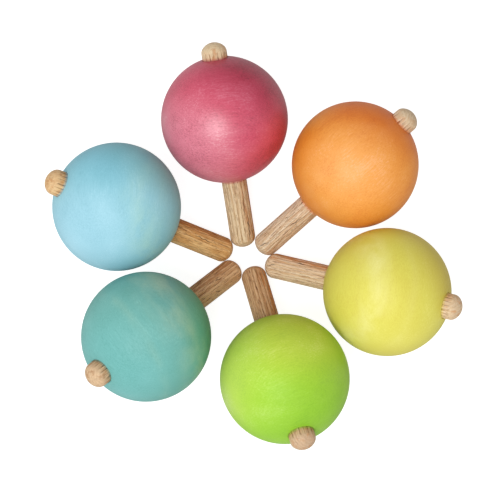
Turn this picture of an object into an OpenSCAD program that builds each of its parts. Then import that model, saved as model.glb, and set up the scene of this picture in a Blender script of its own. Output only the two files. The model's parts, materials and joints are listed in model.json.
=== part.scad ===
// Set of six wooden ball rattles, laid out in a ring with their handles towards the middle.
//
// Units are millimetres. +Z is up, and the origin is on the table under the middle of the set.
// Each rattle is a hollow ball, made of two half shells glued round a rabbet, on a fluted dowel
// that runs right through it. The dowel's short end is the head, its long end is the handle, and
// both ends are domed. Loose beads lie inside the ball and run round the dowel.
// A rattle lies as it rests on a table: the ball and the end of the handle both touch it.

/* [Rattle] */
// Diameter of the ball
ball_d = 60; // [58:0.5:60]
// Diameter of the dowel over its flutes
dowel_d = 12; // [10:0.5:12]
// Length of the dowel over both domed ends
dowel_len = 100; // [96:1:106]
// Height of the dowel's head above the ball
head_out = 7; // [6:0.5:9]

/* [Domed ends] */
// Radius of the rounded edge of a dowel's end
edge_r = 3.9; // [3:0.1:4.4]
// Radius of the flatter crown of a dowel's end
crown_r = 6.8; // [6.2:0.1:9]

/* [Flutes] */
// Number of flutes pressed along the dowel
flute_count = 18; // [12:1:20]
// Depth of a flute
flute_depth = 0.3; // [0.1:0.05:0.35]
// Radius of a flute's round bottom
flute_r = 0.4; // [0.35:0.05:0.5]

/* [Half shells] */
// Thickness of the ball's wall
wall = 9; // [8:0.5:10]
// Height of the rabbet that centres one half shell in the other
rabbet_h = 3; // [2:0.5:4]
// Thickness of the glue in every wood joint
glue_gap = 0.05; // [0.02:0.01:0.1]

/* [Beads] */
// Diameter of a bead
bead_d = 7; // [5:0.5:7]
// Number of beads in each ball
bead_count = 5; // [1:1:5]
// Running clearance between a bead and anything beside it
bead_play = 0.1; // [0.05:0.05:0.15]

/* [Layout] */
// Distance along the table from the middle of the ring to the end of each handle
end_gap = [6.2, 6.2, 8.7, 5.2, 7.2, 9.2]; // [5:0.1:12]
// Bearing of each ball from +X, counter-clockwise
bearing = [101.5, 39.5, -18, -77, -140.5, 162.5]; // [-180:0.5:180]
// Angle by which each handle points past the middle of the ring
swing = [-1, 0, 0, 0, 0.5, 0]; // [-1:0.5:1]
// Place of the ring's middle that puts the middle of the whole set on the origin
ring_middle = [0.35, -0.8]; // [-2:0.05:2]

/* [Hidden] */
$fn = 96;
STAINS = ["crimson", "orange", "yellow", "green", "teal", "blue"];
STAIN_COLOURS = ["#cc5a70", "#f0983c", "#dede6c", "#a4d83a", "#78bdb4", "#8fccdc"];
BEECH = "#d8b48a";
PIECES = concat(["upper_shell", "lower_shell", "dowel"], [for (k = [1:bead_count]) str("bead_", k)]);

ball_r = ball_d / 2;
dowel_r = dowel_d / 2;
bore_r = dowel_r + glue_gap;
hollow_r = ball_r - wall;
rabbet_r = ball_r - wall / 2;

// Distances along the dowel from the centre of the ball to the tip of its head and its handle.
head_end = ball_r + head_out;
handle_end = dowel_len - head_end;

// A domed end is a crown arc that runs into an edge arc. Both centres lie inside the dowel.
edge_offset = dowel_r - edge_r;
edge_drop = sqrt(pow(crown_r - edge_r, 2) - pow(edge_offset, 2));
dome_h = crown_r - edge_drop;
crown_angle = atan2(edge_offset, edge_drop);

// The tilt at which the handle's rounded edge touches the table that the ball stands on.
edge_reach = handle_end - dome_h;
rest_tilt = asin((ball_r - edge_r) / norm([edge_reach, edge_offset])) - atan2(edge_offset, edge_reach);
handle_reach = handle_end * cos(rest_tilt);

// Each bead has a lane round the dowel, against the wall of the hollow. The lanes are a bead's
// width apart, and the second one passes through the lowest point of the hollow.
lane_r = hollow_r - bead_d / 2 - bead_play;
lane_step = 2 * asin((bead_d / 2 + bead_play) / lane_r);
function lane_angle(lane) = 90 + rest_tilt + lane_step * (1 - lane);

// Carries a rattle from its own frame, with the head up along Z, to its place on the table.
// Its +X side ends up underneath.
module lay(rattle) {
    ball_reach = handle_reach + end_gap[rattle];
    translate([ring_middle[0], ring_middle[1], ball_r])
        rotate(bearing[rattle])
            translate([ball_reach, 0, 0])
                rotate([0, 90 - rest_tilt, swing[rattle]])
                    children();
}

// One side of the ball's wall as a half section, from the given height up for a shell's thickness.
module wall_section(start) {
    difference() {
        intersection() {
            circle(ball_r);
            translate([bore_r, start])
                square(ball_r);
        }
        circle(hollow_r);
    }
}

// The half shell on the head's side, with a recess for the other half shell's rabbet.
module upper_shell(rattle) {
    color(STAIN_COLOURS[rattle])
        lay(rattle)
            rotate_extrude()
                difference() {
                    wall_section(glue_gap);
                    square([rabbet_r + glue_gap, rabbet_h + glue_gap]);
                }
}

// The half shell on the handle's side, with the rabbet standing on its inner edge.
module lower_shell(rattle) {
    color(STAIN_COLOURS[rattle])
        lay(rattle)
            rotate_extrude() {
                wall_section(-ball_r);
                difference() {
                    square([rabbet_r, rabbet_h]);
                    circle(hollow_r);
                }
            }
}

// Half section of the dowel from the centre of the ball to a domed end at the given distance.
module dowel_section(end) {
    square([dowel_r, end - dome_h]);
    intersection() {
        translate([edge_offset, end - dome_h])
            circle(edge_r);
        square(end);
    }
    translate([0, end - crown_r])
        intersection() {
            circle(crown_r);
            polygon(2 * crown_r * [[0, 0], [sin(crown_angle), cos(crown_angle)], [0, 1]]);
        }
}

module dowel(rattle) {
    color(BEECH)
        lay(rattle)
            difference() {
                rotate_extrude() {
                    dowel_section(head_end);
                    mirror([0, 1])
                        dowel_section(handle_end);
                }
                for (flute = [0:flute_count - 1])
                    rotate((flute + 0.5) * 360 / flute_count)
                        translate([dowel_r - flute_depth + flute_r, 0, -handle_end])
                            cylinder(r = flute_r, h = dowel_len);
            }
}

module bead(rattle, lane) {
    color(BEECH)
        lay(rattle)
            rotate([0, lane_angle(lane), 0])
                translate([0, 0, lane_r])
                    sphere(d = bead_d);
}

for (rattle = [0:len(STAINS) - 1]) {
    name = STAINS[rattle];
    upper_shell(rattle);
    lower_shell(rattle);
    dowel(rattle);
    for (lane = [0:bead_count - 1])
        bead(rattle, lane);
}
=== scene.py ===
import json
import math

import bpy
import numpy as np
from mathutils import Matrix, Vector


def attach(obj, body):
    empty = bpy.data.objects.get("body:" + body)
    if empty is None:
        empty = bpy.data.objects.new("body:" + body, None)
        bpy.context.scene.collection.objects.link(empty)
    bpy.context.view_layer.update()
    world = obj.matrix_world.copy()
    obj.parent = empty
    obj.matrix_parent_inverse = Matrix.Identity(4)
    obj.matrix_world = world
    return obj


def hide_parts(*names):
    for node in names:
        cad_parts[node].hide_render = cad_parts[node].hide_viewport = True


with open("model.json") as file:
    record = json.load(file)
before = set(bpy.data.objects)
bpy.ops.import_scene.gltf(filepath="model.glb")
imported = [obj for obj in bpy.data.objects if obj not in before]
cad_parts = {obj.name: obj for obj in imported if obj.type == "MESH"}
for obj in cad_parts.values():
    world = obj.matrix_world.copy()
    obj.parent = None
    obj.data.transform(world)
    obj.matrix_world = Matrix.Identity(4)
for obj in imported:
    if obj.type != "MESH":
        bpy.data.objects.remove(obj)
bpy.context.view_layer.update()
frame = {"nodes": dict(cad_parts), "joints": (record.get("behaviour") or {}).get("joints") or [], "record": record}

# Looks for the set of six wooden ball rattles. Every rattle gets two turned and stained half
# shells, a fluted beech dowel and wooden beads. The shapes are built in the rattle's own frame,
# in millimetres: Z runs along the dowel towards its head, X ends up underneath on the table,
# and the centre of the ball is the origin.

MM = 0.001
STAINS = ("crimson", "orange", "yellow", "green", "teal", "blue")

# The turned ball, in millimetres: its wall, the rabbet of its lower half, the glue in every joint
# and the eased lip round its bore. The last number is how many points there are round it.
WALL = 9.0
RABBET_H = 3.0
GLUE_GAP = 0.05
LIP_R = 0.3
SHELL_SEGMENTS = 192

# The dowel's domed ends and flutes, in millimetres. The rays are the places of a flute's points, in
# degrees from its middle towards the next flute.
EDGE_R = 3.9
CROWN_R = 6.8
FLUTES = 18
FLUTE_PITCH = 360 / FLUTES
FLUTE_DEPTH = 0.3
FLUTE_R = 0.4
FLUTE_RAYS = (0, 1, 2, 2.8, 3.4, 3.9, 4.6, 5.8, 7.8, 10, 12.2, 14.2, 15.4, 16.1, 16.6, 17.2, 18, 19)

# The distance between rings of points along the handle, inside the ball and along the head. The
# head's rings start a little way inside the ball. All in millimetres.
HANDLE_STEP = 0.6
HIDDEN_STEP = 4
HEAD_STEP = 0.4
HEAD_START = 1.5

# Steps that keep two flutes, two dowels and the grain of two dowels from being alike.
FLUTE_PHASE = 2.4
DOWEL_PHASE = 1.7
BEECH_SHIFT = 23.0

# A drying crack: its depth and half width in millimetres, and its colour.
CRACK_DEPTH = 0.25
CRACK_WIDTH = 0.2
CRACK_COLOUR = "#4c2c18"

# Kinds of grain, as features per millimetre across the fibres (twice) and along them, then detail,
# roughness and distortion where they aren't the usual ones.
STAINED_GRAIN = {
    "fibres": ((1.9, 1.9, 0.14), 4, 0.6),
    "threads": ((3.2, 3.2, 0.1), 2),
    "pores": ((6, 6, 0.7), 2),
    "mottle": ((1.7, 1.7, 1.1), 2),
    "cloud": ((0.07, 0.07, 0.04), 3),
    "patches": ((0.12, 0.12, 0.05), 3),
}
BEECH_GRAIN = {
    "fibres": ((2.6, 2.6, 0.16), 4, 0.65),
    "lines": ((2.9, 2.9, 0.2), 3, 0.5, 1.4),
    "flecks": ((7, 7, 1.1), 1),
    "streaks": ((1.5, 1.5, 0.06), 3),
    "spots": ((0.45, 0.45, 0.3), 3),
    "dirt": ((1.2, 1.2, 0.35), 3),
}
BEAD_GRAIN = {
    "fibres": ((2.4, 2.4, 0.3), 4, 0.6),
    "pores": ((8, 8, 1.2), 2),
}
RING_BEND = (0.11, 0.11, 0.02)

# Growth rings, in millimetres: how far off the pith is, the spacing and how far they wander. The
# balls have a spacing each.
BALL_PITH, BALL_WANDER = 90, 4
BEECH_RINGS = (14, 1.3, 5)
BEAD_RINGS = (40, 0.9, 3)

# The wood inside the balls and of the beads.
BARE_WOOD = {"mid": "#c79f74", "pale": "#e2c8a0"}
BEAD_WOOD = {"mid": "#c69a68", "pale": "#e7cda3", "pore": "#8d5d36"}

# The floor's colour, its reach in metres and its glow, which is stronger for the camera and weaker
# in a reflection.
FLOOR_GREY = "#b0b0b0"
FLOOR_REACH = 8
FLOOR_GLOW, FLOOR_TO_CAMERA, FLOOR_TO_GLOSS = 0.35, 0.5, -0.25

# The studio's light on its dim and its bright side, and the way to the bright side. The camera sees
# its own share, and a reflection loses most of it.
STUDIO_DIM, STUDIO_BRIGHT = 0.49, 0.69
STUDIO_SIDE = (-0.6, -0.7, 0.3)
STUDIO_TO_CAMERA, STUDIO_TO_GLOSS = 1.1, -0.85

# The camera: sensor and lens in millimetres, place in metres, and turns off straight down.
SENSOR, LENS = 36, 126.08
EYE = (-0.05692, -0.14064, 0.83454)
EYE_PITCH, EYE_ROLL = 9.828, -3.92

# How the wood of each ball was cut and stained. Directions are in the frame of the whole set: fibre
# runs along the grain, and face is the side where the growth rings close into an oval. A band is a
# creamy streak along the grain: its distance from the middle and half width in millimetres, and its
# strength. Painted light and shade is a second colour painted on some sides of the ball, for the lit
# side's sheen or highlight, for shade, or for the reflection of a neighbouring ball: the side it is on,
# its colour, how far it spreads and its strength. Rings are given by their spacing in millimetres and
# their strength. The seed moves the grain, so that no two balls share it. Grain is how much the fibres
# show in the colour, and gloss how strongly the finish shines.
BALLS = {
    "crimson": {
        "deep": "#ac384e", "mid": "#d14f69", "pale": "#e07c90", "cream": "#e3a0ac",
        "fibre": (1, 0.05, 0), "face": (-0.18, -0.33, 0.9), "bands": ((2, 8, 0.15),),
        # Painted light and shade: a redder right side for the orange ball's reflection, a darker upper right for
        # shade and a paler lower left for the sheen.
        "blushes": (((0.95, -0.25, 0.1), "#d23c4c", 0.6, 0.75),
                    ((0.4, 0.75, 0.35), "#a82440", 0.75, 0.75),
                    ((-0.65, -0.65, 0.4), "#e592a3", 0.6, 0.6)),
        "seed": 23, "rings": (1.0, 0.2), "grain": 1.0, "gloss": 0.8,
    },
    "orange": {
        "deep": "#dc7220", "mid": "#ee9633", "pale": "#f6ac58", "cream": "#f8bc78",
        "fibre": (0.75, 0.65, 0.1), "face": (-0.3, 0.2, 0.9), "bands": ((4, 9, 0.3),),
        # Painted light and shade: a deeper upper right for shade and a paler lower middle for the highlight.
        "blushes": (((0.4, 0.8, 0.3), "#e0660a", 0.75, 0.75),
                    ((-0.2, -0.4, 0.9), "#f9b870", 0.6, 0.4)),
        "seed": 37, "rings": (0.9, 0.3), "grain": 0.6, "gloss": 0.4,
    },
    "yellow": {
        "deep": "#cfbe48", "mid": "#dcd45c", "pale": "#e5de72", "cream": "#ebe69a",
        "fibre": (0.1, 1, 0.1), "face": (0.4, 0, 0.9), "bands": ((-19, 5, 0.6), (-4, 3, 0.15)),
        # Painted shade: a darker mustard towards the upper right.
        "blushes": (((0.85, 0.45, 0.2), "#c9a93e", 0.6, 0.6),),
        "seed": 74, "rings": (1.2, 0.25), "grain": 0.45, "gloss": 0.3,
    },
    "green": {
        "deep": "#86b928", "mid": "#a3d02c", "pale": "#b6dc48", "cream": "#c6dc66",
        "fibre": (0.9, 0.35, 0.1), "face": (0.4, -0.5, 0.75), "bands": ((-4, 7, 0.4),),
        # Painted light and shade: yellower towards the top, paler on the lit left side and a deeper green towards
        # the bottom.
        "blushes": (((0.1, 0.6, 0.7), "#cbd452", 0.5, 0.6),
                    ((-0.95, 0.1, 0.2), "#cbe06a", 0.6, 0.6),
                    ((0.3, -0.9, 0.4), "#8cc432", 0.9, 0.75)),
        "seed": 111, "rings": (1.1, 0.3), "grain": 0.5, "gloss": 0.3,
    },
    "teal": {
        "deep": "#569a8e", "mid": "#71b1a9", "pale": "#84c0b8", "cream": "#b4cdb0",
        "fibre": (0.55, -0.8, 0.1), "face": (0.1, 0.2, 0.95),
        "bands": ((-12, 10, 0.6), (9, 2, 0.2)),
        # Painted light and reflection: a greener right side for the green ball's reflection and a bluer tint on
        # the lit lower left.
        "blushes": (((0.9, 0.2, 0.2), "#4f9f62", 0.45, 0.6),
                    ((-0.5, -0.6, 0.5), "#70b4b4", 0.7, 0.5)),
        "seed": 148, "rings": (1.0, 0.3), "grain": 0.5, "gloss": 0.25,
    },
    "blue": {
        "deep": "#7cb6c4", "mid": "#92c9d7", "pale": "#a2d4e2", "cream": "#b6dccf",
        "fibre": (0.1, 1, -0.1), "face": (-0.35, 0, 0.93), "bands": ((20, 7, 0.5),),
        # Painted light and shade: a greyer green upper right and a deeper top for shade, and a paler lit lower
        # left.
        "blushes": (((0.5, 0.7, 0.3), "#7fae9f", 0.5, 0.6),
                    ((-0.1, 0.7, 0.6), "#78bfd0", 0.5, 0.6),
                    ((-0.5, -0.6, 0.5), "#a6cfdf", 0.6, 0.5)),
        "seed": 185, "rings": (0.9, 0.4), "grain": 0.5, "gloss": 0.3,
    },
}

# The beech of each dowel. Dark is the colour of its pores, and of the grime and painted shade in its
# flutes, and head that of the short end. A streak is the side of the rattle's own frame that the brown
# heartwood is on, in degrees. A crack is its side in degrees, its distance from the end of the handle
# and its half length in millimetres, and its turn in degrees per millimetre.
DOWELS = {
    "crimson": {
        "pale": "#e0c8a4", "mid": "#caa880", "dark": "#805026", "streak": 245, "heart": "#bd7a44",
        "head": "#dec8a4", "cracks": ((214, 11, 9, 0.4), (202, 21, 6, 0.7)),
    },
    "orange": {
        "pale": "#e4ceb2", "mid": "#cfac88", "dark": "#875c3c", "streak": 250, "heart": "#c99a70",
        "head": "#cdb592", "cracks": ((180, 5.6, 3.2, 3.1), (200, 24, 4, 1.0)),
    },
    "yellow": {
        "pale": "#e6ceae", "mid": "#d2ae86", "dark": "#8e5a34", "streak": 118, "heart": "#cc8a50",
        "head": "#d8bd98", "cracks": ((192, 5, 2.8, -4.3), (150, 19, 2.5, 1.0)),
    },
    "green": {
        "pale": "#d2ad84", "mid": "#b68a5e", "dark": "#74492a", "streak": 120, "heart": "#c08048",
        "head": "#d2b698", "cracks": ((190, 15, 1.6, 1.2),),
    },
    "teal": {
        "pale": "#d8b186", "mid": "#c09468", "dark": "#744a2a", "streak": 243, "heart": "#a87244",
        "head": "#dcc09c", "cracks": ((180, 16.5, 2.8, 1.8), (136, 20, 1.8, 1.8)),
    },
    "blue": {
        "pale": "#e2b880", "mid": "#cb965a", "dark": "#764622", "streak": 245, "heart": "#b67234",
        "head": "#dfbf92", "cracks": ((180, 18, 6, 0.5),),
    },
}


# ---------------------------------------------------------------- measures from the CAD frame

def rattle_frame(stain):
    """The matrix that carries a rattle's own frame to its place in the set."""
    roll = next(j for j in frame["joints"] if j["name"] == f"{stain}_bead_1_roll")
    head = Vector(roll["axis"]).normalized()
    down = Vector((0, 0, -1))
    under = (down - head * down.dot(head)).normalized()
    turn = Matrix((under, head.cross(under), head)).transposed().to_4x4()
    return Matrix.Translation(roll["pos_m"]) @ turn


def node_points(node, place):
    """A CAD node's corners in a rattle's own frame, in millimetres."""
    inverse = place.inverted()
    return np.array([inverse @ v.co for v in frame["nodes"][node].data.vertices]) / MM


# ---------------------------------------------------------------- mesh helpers

def arc(centre, radius, start, end, steps):
    """Points on an arc in a half section, as (distance from the axis, height)."""
    turns = np.radians(np.linspace(start, end, steps + 1))
    return [(centre[0] + radius * math.cos(t), centre[1] + radius * math.sin(t)) for t in turns]


def grid_faces(rows, columns, closed_rows):
    """The faces of a grid of points that closes round its columns, and maybe round its rows."""
    faces = []
    for row in range(rows if closed_rows else rows - 1):
        below = row * columns
        above = (row + 1) % rows * columns
        for column in range(columns):
            beside = (column + 1) % columns
            faces.append((below + column, below + beside, above + beside, above + column))
    return faces


def make_piece(name, points, faces, place, body, material):
    """Adds a smooth piece, moved from its rattle's own frame to its place, to its body."""
    turn = np.array(place.to_3x3())
    points = np.asarray(points) * MM @ turn.T + np.array(place.translation)
    mesh = bpy.data.meshes.new(name)
    mesh.from_pydata(points.tolist(), [], faces)
    mesh.shade_smooth()
    mesh.materials.append(material)
    piece = bpy.data.objects.new(name, mesh)
    bpy.context.scene.collection.objects.link(piece)
    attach(piece, body)
    return piece


def lathe(name, section, place, body, material):
    """Turns a closed half section round the dowel's axis."""
    turns = np.linspace(0, 2 * math.pi, SHELL_SEGMENTS, endpoint=False)
    points = [(r * math.cos(t), r * math.sin(t), z) for r, z in section for t in turns]
    faces = grid_faces(len(section), SHELL_SEGMENTS, closed_rows=True)
    piece = make_piece(name, points, faces, place, body, material)
    piece.data.set_sharp_from_angle(angle=math.radians(40))
    return piece


# ---------------------------------------------------------------- the turned half shells

def shell_section(ball_r, bore_r, step_r, step_h, up):
    """Half section of one half shell, with an eased lip round its bore. up is 1 or -1."""
    hollow_r = ball_r - WALL
    lip_turn = math.degrees(math.acos((bore_r + LIP_R) / (ball_r - LIP_R)))
    lip_centre = (bore_r + LIP_R, (ball_r - LIP_R) * math.sin(math.radians(lip_turn)))
    bore_turn = math.degrees(math.acos(bore_r / hollow_r))
    step_turn = math.degrees(math.asin(step_h / hollow_r))
    section = arc((0, 0), ball_r, 0, lip_turn, steps=72)
    section += arc(lip_centre, LIP_R, lip_turn, 180, steps=6)[1:]
    section += arc((0, 0), hollow_r, bore_turn, step_turn, steps=24)
    section += [(step_r, step_h), (step_r, 0)]
    return [(r, up * z) for r, z in section][::up]


def half_shells(stain, place, ball_r, bore_r):
    """The two halves of one ball. The lower one's rabbet stands in the upper one's recess."""
    material = stained_wood(stain, place, ball_r)
    rabbet_r = ball_r - WALL / 2
    body = f"{stain}_rattle"
    upper = shell_section(ball_r, bore_r, rabbet_r + GLUE_GAP, RABBET_H + GLUE_GAP, 1)
    piece = lathe(f"{stain}_upper_half", upper, place, body, material)
    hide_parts(f"{stain}_upper_shell")
    lower = shell_section(ball_r, bore_r, rabbet_r, -RABBET_H, -1)
    piece = lathe(f"{stain}_lower_half", lower, place, body, material)
    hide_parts(f"{stain}_lower_shell")


# ---------------------------------------------------------------- the fluted dowels

def dome_rows(dowel_r, steps=9):
    """(depth below the tip, radius) down a domed end, from its middle to the straight sides."""
    offset = dowel_r - EDGE_R
    drop = math.sqrt((CROWN_R - EDGE_R) ** 2 - offset ** 2)
    crown = math.degrees(math.atan2(offset, drop))
    rows = [(CROWN_R - z, r) for r, z in arc((0, 0), CROWN_R, 88, 90 - crown, steps)]
    return rows + [(CROWN_R - drop - z, offset + r)
                   for r, z in arc((0, 0), EDGE_R, 90 - crown, 0, steps)[1:]]


def dowel_rows(dowel_r, ball_r, low, high):
    """(height, radius) of each ring of points along the dowel, few of them inside the ball."""
    dome = dome_rows(dowel_r)
    height = dome[-1][0]
    lower = [(low + d, r) for d, r in dome]
    upper = [(high - d, r) for d, r in reversed(dome)]
    handle = np.arange(low + height + HANDLE_STEP, -ball_r + HIDDEN_STEP / 2, HANDLE_STEP)
    inside = np.arange(-ball_r + HIDDEN_STEP, ball_r - HIDDEN_STEP / 2, HIDDEN_STEP)
    head = np.arange(ball_r - HEAD_START, high - height - HEAD_STEP / 2, HEAD_STEP)
    sides = [(z, dowel_r) for z in np.concatenate((handle, inside, head))]
    return lower + sides + upper


def fluted_surface(rows, dowel_r, seed, cracks, low):
    """Points of a dowel with uneven flutes, and how deep in a flute and in a crack each one is."""
    points = []
    grooves = []
    splits = []
    for z, radius in rows:
        for flute in range(FLUTES):
            drift, depth = waver(z, seed + FLUTE_PHASE * flute)
            for ray in FLUTE_RAYS:
                turn = math.radians(FLUTE_PITCH * (flute + 0.5) + ray + drift)
                off = math.radians(min(ray, FLUTE_PITCH - ray))
                cut = flute_radius(off, dowel_r - depth + FLUTE_R)
                r = min(radius, cut)
                crack = crack_depth(math.degrees(turn), z - low, dowel_r, cracks)
                grooves.append((radius - r) / FLUTE_DEPTH)
                splits.append(crack / CRACK_DEPTH)
                r -= min(crack, 0.5 * r)
                points.append((r * math.cos(turn), r * math.sin(turn), z))
    return points, grooves, splits


def waver(z, phase):
    """How far a flute strays at one height, in degrees, and how deep it is, in millimetres."""
    drift = 1.2 * math.sin(z / 6 + phase) + 1.1 * math.sin(z / 1.3 + 1.7 * phase)
    depth = FLUTE_DEPTH * (0.78 + 0.22 * math.sin(z / 2.6 + 1.3 * phase))
    return drift, depth


def flute_radius(off, centre):
    """Distance from the axis to the bottom of a round flute, at a turn off its middle."""
    reach = FLUTE_R ** 2 - (centre * math.sin(off)) ** 2
    return centre * math.cos(off) - math.sqrt(reach) if reach > 0 else math.inf


def crack_depth(turn, along, dowel_r, cracks):
    """Depth of the drying cracks at one place on the dowel. Their lines waver a little."""
    depth = 0.0
    for side, middle, half, twist in cracks:
        gone = (along - middle) / half
        if abs(gone) >= 1:
            continue
        line = side + twist * (along - middle) + 2 * math.sin(along * 1.9)
        off = math.radians((turn - line + 180) % 360 - 180) * dowel_r / CRACK_WIDTH
        depth = max(depth, CRACK_DEPTH * (1 - gone * gone) * math.exp(-off * off))
    return depth


def fluted_dowel(stain, place, ball_r, dowel_r):
    """One dowel through its ball, closed at both ends, with its flutes and cracks marked."""
    heights = node_points(f"{stain}_dowel", place)[:, 2]
    low, high = heights.min(), heights.max()
    rows = dowel_rows(dowel_r, ball_r, low, high)
    seed = DOWEL_PHASE * STAINS.index(stain)
    points, grooves, splits = fluted_surface(rows, dowel_r, seed, DOWELS[stain]["cracks"], low)
    columns = FLUTES * len(FLUTE_RAYS)
    faces = grid_faces(len(rows), columns, closed_rows=False)
    top = (len(rows) - 1) * columns
    tips = (len(points), len(points) + 1)
    points += [(0, 0, low), (0, 0, high)]
    for column in range(columns):
        beside = (column + 1) % columns
        faces.append((tips[0], beside, column))
        faces.append((tips[1], top + column, top + beside))
    material = beech(stain, place, ball_r)
    body = f"{stain}_rattle"
    piece = make_piece(f"{stain}_fluted_dowel", points, faces, place, body, material)
    add_attribute(piece, "groove", grooves + [0.0, 0.0])
    add_attribute(piece, "crack", splits + [0.0, 0.0])
    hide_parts(f"{stain}_dowel")


def add_attribute(piece, name, values):
    """Stores one number per point for the material to read."""
    layer = piece.data.attributes.new(name, "FLOAT", "POINT")
    layer.data.foreach_set("value", np.clip(np.array(values, np.float32), 0, 1))


# ---------------------------------------------------------------- node helpers

def linear(colour):
    """A colour such as #c8536c as linear light, for a node's input."""
    channels = [int(colour[i:i + 2], 16) / 255 for i in (1, 3, 5)]
    light = [c / 12.92 if c <= 0.04045 else ((c + 0.055) / 1.055) ** 2.4 for c in channels]
    return (*light, 1.0)


def shade(first, second):
    """What the first colour is multiplied by to give the second."""
    return tuple(b / a for a, b in zip(linear(first), linear(second)))


class Graph:
    """The node tree of a material or a world, with short calls that add its nodes and link them."""

    def __init__(self, owner):
        owner.use_nodes = True
        self.owner = owner
        self.tree = owner.node_tree
        self.tree.nodes.clear()

    def add(self, kind, inputs=None, **settings):
        """Adds a node. An input is an output socket to link, or a plain value."""
        node = self.tree.nodes.new("ShaderNode" + kind)
        for key, value in settings.items():
            setattr(node, key, value)
        for key, value in (inputs or {}).items():
            if isinstance(value, bpy.types.NodeSocket):
                self.tree.links.new(value, node.inputs[key])
            else:
                node.inputs[key].default_value = value
        return node

    def calc(self, operation, *values):
        """The result of a Math node."""
        return self.add("Math", dict(enumerate(values)), operation=operation).outputs[0]

    def total(self, start, *parts):
        """The start plus every part, which is a value and its weight."""
        for value, weight in parts:
            start = self.calc("MULTIPLY_ADD", value, weight, start)
        return start

    def vector(self, operation, *values):
        """The vector from a Vector Math node."""
        return self.add("VectorMath", dict(enumerate(values)), operation=operation).outputs[0]

    def length(self, vector):
        """The length of a vector."""
        return self.add("VectorMath", {0: vector}, operation="LENGTH").outputs["Value"]

    def dot(self, vector, direction):
        """How far a vector goes along a direction."""
        inputs = {0: vector, 1: tuple(direction)}
        return self.add("VectorMath", inputs, operation="DOT_PRODUCT").outputs["Value"]

    def noise(self, vector, stretch, detail=2.0, roughness=0.5, distortion=0.0):
        """Noise with stretch features per millimetre along each direction."""
        scaled = self.vector("MULTIPLY", vector, stretch)
        inputs = {"Vector": scaled, "Scale": 1.0, "Detail": detail, "Roughness": roughness,
                  "Distortion": distortion}
        return self.add("TexNoise", inputs).outputs[0]

    def noises(self, vector, grains):
        """One noise for each kind of grain, by name."""
        return {name: self.noise(vector, *shape) for name, shape in grains.items()}

    def attribute(self, name):
        """A number that the mesh holds for each point."""
        return self.add("Attribute", attribute_name=name).outputs["Fac"]

    def step(self, value, low, high, to_low=0.0, to_high=1.0):
        """A soft step from to_low to to_high while value goes from low to high."""
        inputs = {"Value": value, "From Min": low, "From Max": high, "To Min": to_low,
                  "To Max": to_high}
        return self.add("MapRange", inputs, interpolation_type="SMOOTHSTEP").outputs[0]

    def mix(self, factor, first, second, blend="MIX"):
        """Two colours mixed by a factor."""
        inputs = {0: factor, 6: first, 7: second}
        return self.add("Mix", inputs, data_type="RGBA", blend_type=blend).outputs[2]

    def finish(self, colour, roughness, height, relief, **more):
        """Ends the tree with a wood surface. relief is the depth of the height in millimetres."""
        bump = self.add("Bump", {"Strength": 1.0, "Distance": relief * MM, "Height": height})
        inputs = {"Base Color": colour, "Roughness": roughness, "Normal": bump.outputs[0]}
        surface = self.add("BsdfPrincipled", {**inputs, **more})
        self.add("OutputMaterial", {0: surface.outputs[0]})
        return self.owner


def rattle_space(graph, place):
    """The surface point in its rattle's own frame, in millimetres."""
    point = graph.add("TexCoord").outputs["Object"]
    point = graph.vector("SUBTRACT", point, tuple(place.translation))
    point = graph.vector("MULTIPLY", point, (1 / MM,) * 3)
    axes = place.to_3x3().transposed()
    return graph.add("CombineXYZ", {i: graph.dot(point, axes[i]) for i in range(3)}).outputs[0]


def grain_space(graph, local, fibre, face):
    """The same point along the face, the side and the fibre of the blank of wood."""
    side = fibre.cross(face).normalized()
    out = side.cross(fibre)
    parts = {i: graph.dot(local, direction) for i, direction in enumerate((out, side, fibre))}
    return graph.add("CombineXYZ", parts).outputs[0]


def growth_rings(graph, grain, pith, spacing, wander):
    """From 0 in early wood to 1 in late wood, round a pith that far off along the face."""
    bend = graph.noise(grain, RING_BEND, detail=3)
    moved = graph.vector("ADD", grain, (pith, 0, 0))
    radius = graph.length(graph.vector("MULTIPLY", moved, (1, 1, 0)))
    radius = graph.total(radius, (bend, wander))
    wave = graph.calc("SINE", graph.calc("MULTIPLY", radius, 2 * math.pi / spacing))
    return graph.total(0.5, (wave, 0.5))


# ---------------------------------------------------------------- materials

def creamy_bands(graph, colour, grain, wood, look):
    """Pale streaks along the grain, ragged at their edges and broken into patches."""
    across = graph.add("SeparateXYZ", {0: grain}).outputs[1]
    patches = graph.step(wood["patches"], 0.3, 0.7)
    for middle, width, strength in look["bands"]:
        off = graph.calc("ABSOLUTE", graph.calc("SUBTRACT", across, middle))
        ragged = graph.total(off, (wood["fibres"], 1.2 * width))
        band = graph.step(ragged, 0.2 * width, 2.4 * width, strength, 0.0)
        band = graph.calc("MULTIPLY", band, patches)
        colour = graph.mix(band, colour, linear(look["cream"]))
    return colour


def paint_light_and_shade(graph, colour, normal, turn, look):
    """Painted light and shade: a second colour that fades in on some sides of the ball, for a lit side, a shaded
    side or a neighbour's reflection.
    """
    for side, tint, spread, strength in look["blushes"]:
        near = graph.dot(normal, (turn @ Vector(side)).normalized())
        painted_tone = graph.step(near, 1 - spread, 1.05, 0.0, strength)
        colour = graph.mix(painted_tone, colour, linear(tint))
    return colour


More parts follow.
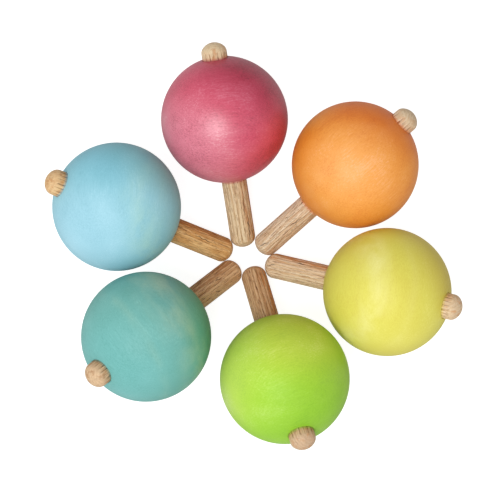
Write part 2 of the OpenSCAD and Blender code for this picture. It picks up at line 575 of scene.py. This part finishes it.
def uneven_stain(graph, colour, wood, rings, pores, end, look):
    """Stain that is darker in soft wood, pores and end grain, and paler in hard wood."""
    tone = graph.total(-0.25, (wood["threads"], 0.4), (wood["cloud"], 0.8), (wood["fibres"], 0.5),
                       (rings, 0.14 * look["rings"][1]), (wood["mottle"], 0.5))
    dark = graph.calc("MAXIMUM", graph.step(tone, 0.55, 0.92, look["grain"], 0.0), end)
    light = graph.step(tone, 0.88, 1.3)
    colour = graph.mix(dark, colour, shade(look["mid"], look["deep"]), "MULTIPLY")
    colour = graph.mix(light, colour, shade(look["mid"], look["pale"]), "MULTIPLY")
    pores = graph.calc("MULTIPLY", pores, 0.25)
    return graph.mix(pores, colour, linear(look["deep"]), "MULTIPLY")


def bare_inside(graph, colour, local, fibres, ball_r):
    """Bare wood everywhere but in the skin of the ball, because stain is put on last."""
    light = graph.step(fibres, 0.3, 0.7)
    bare = graph.mix(light, linear(BARE_WOOD["mid"]), linear(BARE_WOOD["pale"]))
    skin = graph.step(graph.length(local), ball_r - 1.2, ball_r - 0.5)
    return graph.mix(skin, bare, colour)


def stained_wood(stain, place, ball_r):
    """Satin stain on turned wood, with its grain cut as the ball's own blank was."""
    look = BALLS[stain]
    graph = Graph(bpy.data.materials.new(f"{stain}_stained_wood"))
    local = rattle_space(graph, place)
    turn = place.to_3x3().inverted()
    fibre = (turn @ Vector(look["fibre"])).normalized()
    grain = grain_space(graph, local, fibre, turn @ Vector(look["face"]))
    wood = graph.noises(graph.vector("ADD", grain, (look["seed"],) * 3), STAINED_GRAIN)
    pores = graph.step(wood["pores"], 0.6, 0.72)
    spacing, ringed = look["rings"]
    rings = growth_rings(graph, grain, BALL_PITH, spacing, BALL_WANDER)
    normal = graph.vector("NORMALIZE", local)
    end = graph.step(graph.calc("ABSOLUTE", graph.dot(normal, fibre)), 0.75, 1.0, 0.0, 0.35)

    colour = creamy_bands(graph, linear(look["mid"]), grain, wood, look)
    colour = paint_light_and_shade(graph, colour, normal, turn, look)
    colour = uneven_stain(graph, colour, wood, rings, pores, end, look)
    colour = bare_inside(graph, colour, local, wood["fibres"], ball_r)

    gloss = look["gloss"]
    height = graph.total(wood["fibres"], (rings, 0.2 * ringed + 0.15 * gloss),
                         (wood["mottle"], 2.6 * gloss), (pores, -0.5))
    roughness = graph.step(wood["fibres"], 0.3, 0.7, 0.62 - 0.25 * gloss, 0.5 - 0.2 * gloss)
    return graph.finish(colour, roughness, height, relief=0.03, **{"Specular IOR Level": gloss})


def heartwood(graph, colour, local, wood, look):
    """A streaky brown side."""
    side = math.radians(look["streak"])
    reach = graph.dot(local, (math.cos(side), math.sin(side), 0))
    heart = graph.step(graph.total(reach, (wood["fibres"], 7)), 6.4, 9.4)
    heart = graph.calc("MULTIPLY", heart, graph.step(wood["streaks"], 0.42, 0.56))
    return graph.mix(heart, colour, linear(look["heart"]))


def head_wood(graph, colour, along, at_head, spots, ball_r, look):
    """The head's own colour, with brown spots."""
    own = graph.step(along, ball_r - 1, ball_r + 3, 0.0, 0.6)
    colour = graph.mix(own, colour, linear(look["head"]))
    spots = graph.calc("MULTIPLY", graph.step(spots, 0.52, 0.68, 0.0, 0.55), at_head)
    return graph.mix(spots, colour, linear(look["heart"]))


def flute_grime_and_painted_shade(graph, colour, dirt, at_head, at_ball, look):
    """Grime and painted shade in the floors of the flutes, in patches, with more on the head, and more painted
    contact shadow next to the ball.
    """
    floors = graph.step(graph.attribute("groove"), 0.35, 1.0)
    flute_grime_and_shade = graph.step(dirt, 0.42, 0.62, 0.1, 0.7)
    # Next to the ball the flutes get more painted contact shadow; on the head a little more grime.
    flute_grime_and_shade = graph.total(flute_grime_and_shade, (graph.step(at_ball, 0.3, 2.0, 1.0, 0.0), 0.6), (at_head, 0.15))
    return graph.mix(graph.calc("MULTIPLY", floors, flute_grime_and_shade), colour, linear(look["dark"]))


def beech(stain, place, ball_r):
    """Bare beech with long dark pores. Where it enters the ball it has a painted contact shadow in the ball's deep
    colour.
    """
    look = DOWELS[stain]
    graph = Graph(bpy.data.materials.new(f"{stain}_beech"))
    local = rattle_space(graph, place)
    seed = BEECH_SHIFT * STAINS.index(stain)
    shifted = graph.vector("ADD", local, (seed, -seed, seed))
    wood = graph.noises(shifted, BEECH_GRAIN)
    lines = graph.step(wood["lines"], 0.57, 0.64)
    flecks = graph.step(wood["flecks"], 0.6, 0.7)
    along = graph.dot(local, (0, 0, 1))
    at_head = graph.step(along, ball_r - 3, ball_r)
    at_ball = graph.calc("ABSOLUTE", graph.calc("SUBTRACT", graph.length(local), ball_r))

    rings = growth_rings(graph, shifted, *BEECH_RINGS)
    tone = graph.total(0.0, (wood["fibres"], 0.9), (rings, 0.3))
    colour = graph.mix(graph.step(tone, 0.4, 0.8), linear(look["mid"]), linear(look["pale"]))
    colour = heartwood(graph, colour, local, wood, look)
    colour = graph.mix(graph.calc("MULTIPLY", lines, 0.8), colour, linear(look["dark"]))
    colour = graph.mix(graph.calc("MULTIPLY", flecks, 0.3), colour, linear(look["dark"]))
    colour = head_wood(graph, colour, along, at_head, wood["spots"], ball_r, look)
    colour = flute_grime_and_painted_shade(graph, colour, wood["dirt"], at_head, at_ball, look)
    # Painted contact shadow in the ball's deep colour, where the dowel enters the ball.
    painted_contact_shade = graph.step(at_ball, 0.1, 1.2, 0.5, 0.0)
    colour = graph.mix(painted_contact_shade, colour, linear(BALLS[stain]["deep"]))
    cracks = graph.step(graph.attribute("crack"), 0.1, 0.7, 0.0, 0.85)
    colour = graph.mix(cracks, colour, linear(CRACK_COLOUR))

    height = graph.total(wood["fibres"], (lines, -0.6), (flecks, -0.4))
    roughness = graph.step(wood["fibres"], 0.3, 0.7, 0.66, 0.5)
    return graph.finish(colour, roughness, height, relief=0.06, **{"Specular IOR Level": 0.35})


def bead_wood():
    """Plain turned wood for the loose beads."""
    graph = Graph(bpy.data.materials.new("bead_wood"))
    local = graph.add("TexCoord").outputs["Object"]
    local = graph.vector("MULTIPLY", local, (1 / MM,) * 3)
    wood = graph.noises(local, BEAD_GRAIN)
    pores = graph.step(wood["pores"], 0.6, 0.7)
    rings = growth_rings(graph, local, *BEAD_RINGS)
    light = graph.step(graph.total(0.0, (wood["fibres"], 0.8), (rings, 0.35)), 0.35, 0.85)
    colour = graph.mix(light, linear(BEAD_WOOD["mid"]), linear(BEAD_WOOD["pale"]))
    colour = graph.mix(graph.calc("MULTIPLY", pores, 0.5), colour, linear(BEAD_WOOD["pore"]))
    height = graph.total(wood["fibres"], (pores, -0.5))
    roughness = graph.step(wood["fibres"], 0.3, 0.7, 0.6, 0.48)
    return graph.finish(colour, roughness, height, relief=0.03)


# ---------------------------------------------------------------- building the set

def build_rattles():
    """Every rattle's shells and dowel."""
    handle_r = frame["record"]["mounts"][0]["dims"]["r_mm"]
    for stain in STAINS:
        place = rattle_frame(stain)
        shell = node_points(f"{stain}_lower_shell", place)
        ball_r = np.linalg.norm(shell, axis=1).max()
        half_shells(stain, place, ball_r, handle_r + GLUE_GAP)
        fluted_dowel(stain, place, ball_r, handle_r)


def finish_beads():
    """Smooth turned wood on the CAD model's beads."""
    wood = bead_wood()
    for name, node in frame["nodes"].items():
        if "_bead_" in name:
            node.data.shade_smooth()
            for slot in node.material_slots:
                slot.material = wood


# ---------------------------------------------------------------- studio

def white_floor():
    """A wide pale floor that glows like a light table, most of all to the camera."""
    graph = Graph(bpy.data.materials.new("floor"))
    path = graph.add("LightPath").outputs
    glow = graph.total(FLOOR_GLOW, (path["Is Glossy Ray"], FLOOR_TO_GLOSS),
                       (path["Is Camera Ray"], FLOOR_TO_CAMERA))
    inputs = {"Base Color": linear(FLOOR_GREY), "Roughness": 0.9, "Specular IOR Level": 0.1,
              "Emission Color": (1, 1, 1, 1), "Emission Strength": glow}
    surface = graph.add("BsdfPrincipled", inputs)
    graph.add("OutputMaterial", {0: surface.outputs[0]})
    mesh = bpy.data.meshes.new("floor")
    sides = ((-1, -1), (1, -1), (1, 1), (-1, 1))
    corners = [(x * FLOOR_REACH, y * FLOOR_REACH, 0) for x, y in sides]
    mesh.from_pydata(corners, [], [(0, 1, 2, 3)])
    mesh.materials.append(graph.owner)
    floor = bpy.data.objects.new("floor", mesh)
    bpy.context.scene.collection.objects.link(floor)


def white_world():
    """Soft white light, stronger from the lower left. The camera sees the floor's white."""
    world = bpy.data.worlds.new("studio")
    bpy.context.scene.world = world
    graph = Graph(world)
    way = graph.add("TexCoord").outputs["Generated"]
    side = graph.dot(way, Vector(STUDIO_SIDE).normalized())
    glow = graph.step(side, -0.8, 0.8, STUDIO_DIM, STUDIO_BRIGHT)
    path = graph.add("LightPath").outputs
    glow = graph.calc("MULTIPLY", glow, graph.total(1, (path["Is Glossy Ray"], STUDIO_TO_GLOSS)))
    seen = graph.calc("MULTIPLY", path["Is Camera Ray"], STUDIO_TO_CAMERA)
    strength = graph.calc("MAXIMUM", glow, seen)
    light = graph.add("Background", {"Color": (1, 1, 1, 1), "Strength": strength})
    graph.add("OutputWorld", {0: light.outputs[0]})


def soft_light(name, direction, distance, size, power):
    """A square soft box that looks at the middle of the set."""
    lamp = bpy.data.lights.new(name, "AREA")
    lamp.shape = "SQUARE"
    lamp.size = size
    lamp.energy = power
    box = bpy.data.objects.new(name, lamp)
    bpy.context.scene.collection.objects.link(box)
    way = Vector(direction).normalized()
    box.location = way * distance
    box.rotation_mode = "QUATERNION"
    box.rotation_quaternion = way.to_track_quat("Z", "Y")


def camera():
    """A long lens almost straight above the set."""
    data = bpy.data.cameras.new("camera")
    data.sensor_width = SENSOR
    data.lens = LENS
    eye = bpy.data.objects.new("camera", data)
    bpy.context.scene.collection.objects.link(eye)
    pitch = Matrix.Rotation(math.radians(EYE_PITCH), 4, "X")
    roll = Matrix.Rotation(math.radians(EYE_ROLL), 4, "Y")
    eye.matrix_world = Matrix.Translation(EYE) @ pitch @ roll
    bpy.context.scene.camera = eye


build_rattles()
finish_beads()
white_floor()
white_world()
soft_light("key", direction=(-0.3, -0.4, 0.87), distance=2.5, size=1.2, power=40)
camera()
bpy.context.scene.view_settings.view_transform = "Standard"
